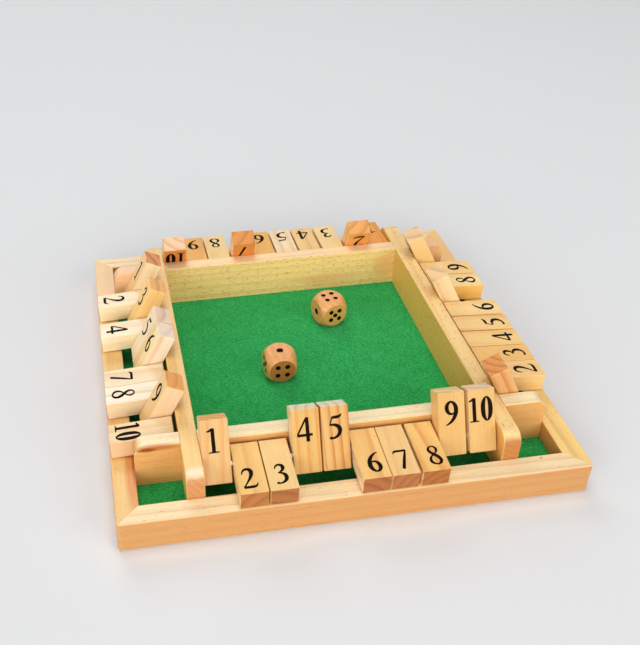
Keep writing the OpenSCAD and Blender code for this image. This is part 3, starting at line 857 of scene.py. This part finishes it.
# degrees that carry the upper face to each face, and where spots stand in steps from its middle
faceTurns = [(0, 0, 0), (180, 0, 0), (90, 0, 0), (-90, 0, 0), (0, -90, 0), (0, 90, 0)]
spotPlaces = {
    1: [(0, 0)],
    2: [(-1, 1), (1, -1)],
    3: [(-1, 1), (0, 0), (1, -1)],
    4: [(-1, -1), (-1, 1), (1, -1), (1, 1)],
    5: [(-1, -1), (-1, 1), (0, 0), (1, -1), (1, 1)],
    6: [(-1, -1), (-1, 0), (-1, 1), (1, -1), (1, 0), (1, 1)],
}


# paint in a pip: a cap of the drilled ball, point(r, a) = (r cos a, r sin a,
# centre - sqrt(R^2 - r^2)), its upper skin one paint thickness nearer the ball's centre
def pipSkin(radius, deep, paint):
    ball = (radius ** 2 + deep ** 2) / (2 * deep)
    centre = diceSet["width"] / 2 + ball - deep
    rings, spokes = diceSet["steps"]
    angle = np.arange(spokes) / spokes * 2 * math.pi
    share = np.linspace(diceSet["inmost"], 1, rings)
    upper, lower = [], []
    for r in radius * share:
        edge = np.full(spokes, centre)
        upper.append(np.stack([r * np.cos(angle), r * np.sin(angle),
                               edge - math.sqrt((ball - paint) ** 2 - min(r, ball - paint) ** 2)], 1))
        lower.append(np.stack([r * np.cos(angle), r * np.sin(angle),
                               edge - math.sqrt((ball + paint) ** 2 - r ** 2)], 1))
    points = np.concatenate(upper + lower[::-1])
    return points, gridFaces(2 * rings, spokes, False)


# Beech, turned to round its corners, dipped in clear varnish: pinkish tan with short dark flecks
def makeBeech(name, place, turn, end):
    material, tree = newMaterial(name)
    where = addNode(tree, "ShaderNodeTexCoord")
    own = addNode(tree, "ShaderNodeMapping", {"vector_type": "TEXTURE"},
                  {0: where.outputs["Object"], 1: place, 2: turn})
    heart = addNode(tree, "ShaderNodeMapping", None,
                    {0: own.outputs[0], 1: (0.03, float(rng.uniform(-1, 1)), 0.02)})
    rings = addNode(tree, "ShaderNodeTexWave",
                    {"wave_type": "RINGS", "rings_direction": "Y", "wave_profile": "SIN"},
                    {"Vector": heart.outputs[0], "Scale": 2 * math.pi / (20 * diceSet["ringGap"] * mm),
                     "Distortion": 1.6, "Detail": 2.0, "Detail Scale": 0.8})
    flecksAt = addNode(tree, "ShaderNodeMapping", None,
                       {0: own.outputs[0], 3: diceSet["flecks"]})
    flecks = addNode(tree, "ShaderNodeTexNoise", None,
                     {"Vector": flecksAt.outputs[0], "Scale": 1.0, "Detail": 2.0})
    tone = addNode(tree, "ShaderNodeMath", {"operation": "MULTIPLY_ADD"},
                   {0: rings.outputs["Fac"], 1: 0.2, 2: flecks.outputs["Fac"]})
    colour = addNode(tree, "ShaderNodeValToRGB",
                     {"stops": [(0.35, "#DA8B49"), (0.6, "#E79F59"), (0.9, "#EFB16B")]},
                     {0: tone.outputs[0]})
    # the flat faces that cut across the grain are darker, out to where the ball begins: end grain, and
    # on die_1 deepened as painted shade
    colour = addNode(tree, "ShaderNodeMix", {"data_type": "RGBA"},
                     {0: faceMask(tree, where, turn, (0, 1, 0), 0.85, 0.79, 0.90),
                      6: colour.outputs[0], 7: linearColour(end)})
    shader = addNode(tree, "ShaderNodeBsdfPrincipled", None, {
        "Base Color": colour.outputs[2], "Roughness": 0.45, "IOR": 1.5,
        "Coat Weight": 0.4, "Coat Roughness": 0.2})
    addNode(tree, "ShaderNodeOutputMaterial", None, {"Surface": shader.outputs[0]})
    return material


for name, die in diceSet["dice"].items():
    place = Vector(die["at"]) * mm
    turn = (0, 0, math.radians(die["yaw"]))
    giveMaterial(nodes[name], makeBeech("varnished_beech_" + name, place, turn, die["end"]))
    skins = []
    for spots, faceTurn in zip(die["faces"], faceTurns):
        radius = diceSet["ace"] if spots == 1 else diceSet["pip"]
        cap, capFaces = pipSkin(radius, diceSet["deep"], diceSet["paint"])
        matrix = Euler(turn).to_matrix() @ Euler([math.radians(v) for v in faceTurn]).to_matrix()
        for u, v in spotPlaces[spots]:
            moved = (cap + (u * diceSet["offset"], v * diceSet["offset"], 0)) * mm
            skins.append((moved @ np.array(matrix).T + np.array(place), capFaces))
    makePiece("pips_" + name, skins, ink, name)
print("dice finished")
